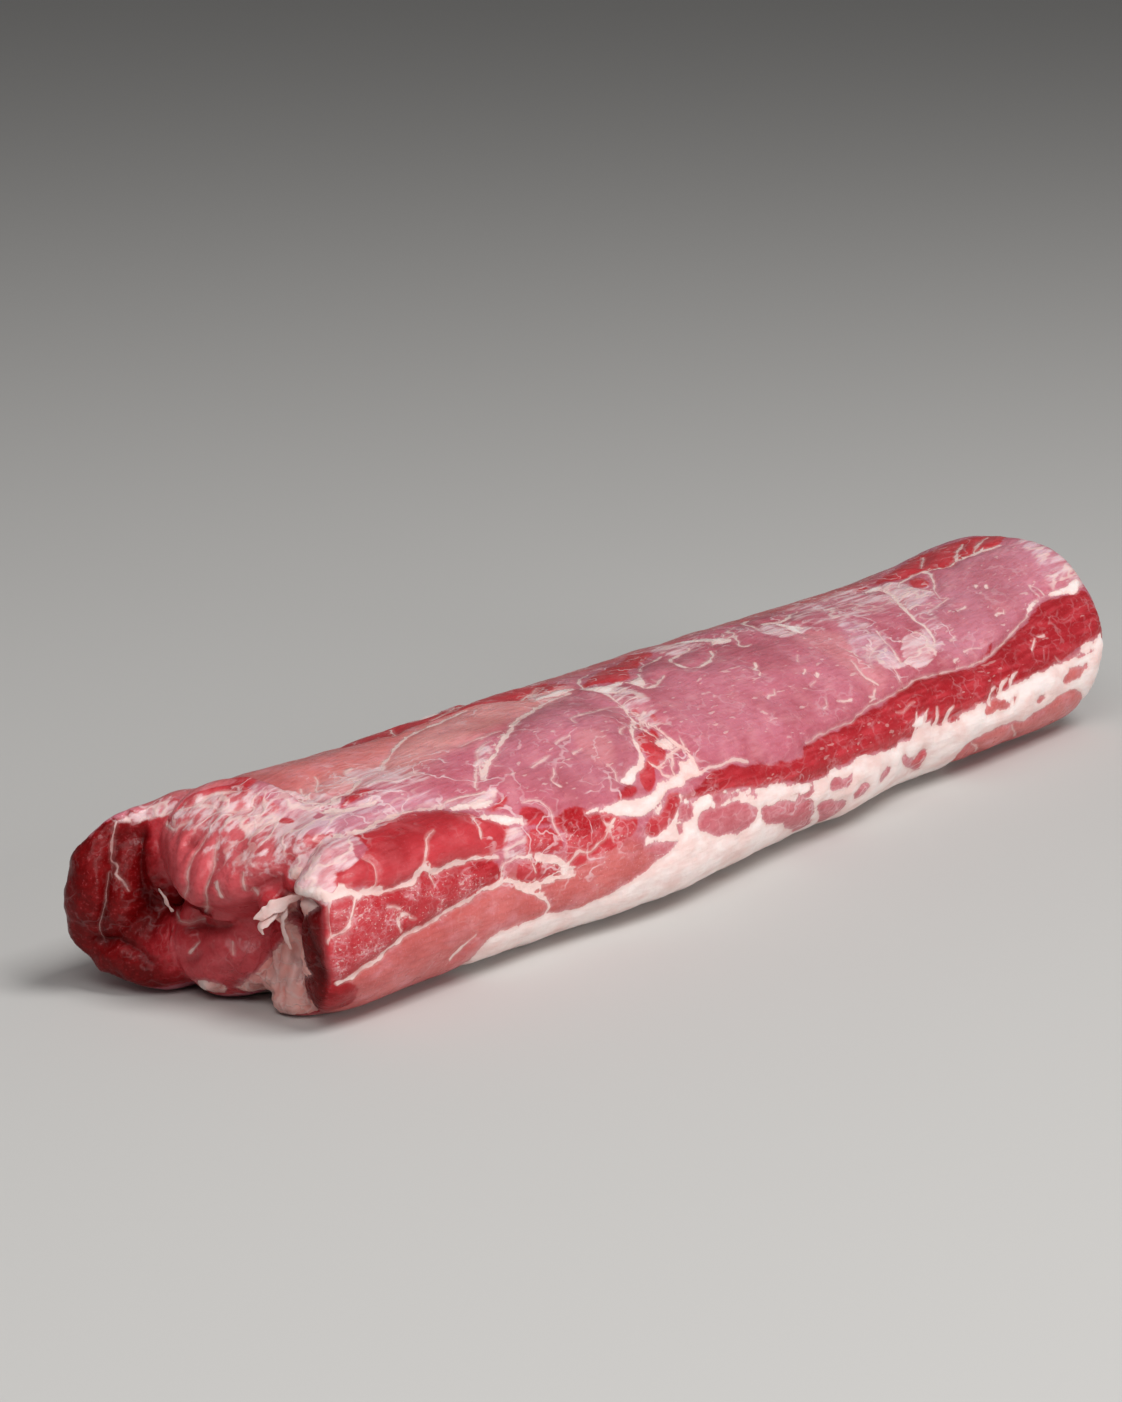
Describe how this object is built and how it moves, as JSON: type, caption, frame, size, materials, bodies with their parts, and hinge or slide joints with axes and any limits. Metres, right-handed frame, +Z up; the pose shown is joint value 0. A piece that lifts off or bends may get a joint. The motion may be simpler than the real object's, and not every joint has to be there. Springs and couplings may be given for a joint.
{
  "type": "pork loin",
  "caption": "Raw boneless pork loin joint: a long uneven bar of meat with a fat edge, a craggy torn end and a plain cut end, lying on its fat side.",
  "frame": {"origin": "under the middle of the loin, on the surface that it rests on", "axes": "+X along the loin towards the plain cut end, +Z up, -Y towards the side with the fat seam"},
  "size_m": [0.57, 0.1362, 0.0744],
  "materials": {
    "meat": "moist raw meat with white fat"
  },
  "bodies": {
    "root": {"pork_loin": "meat"}
  },
  "joints": []
}
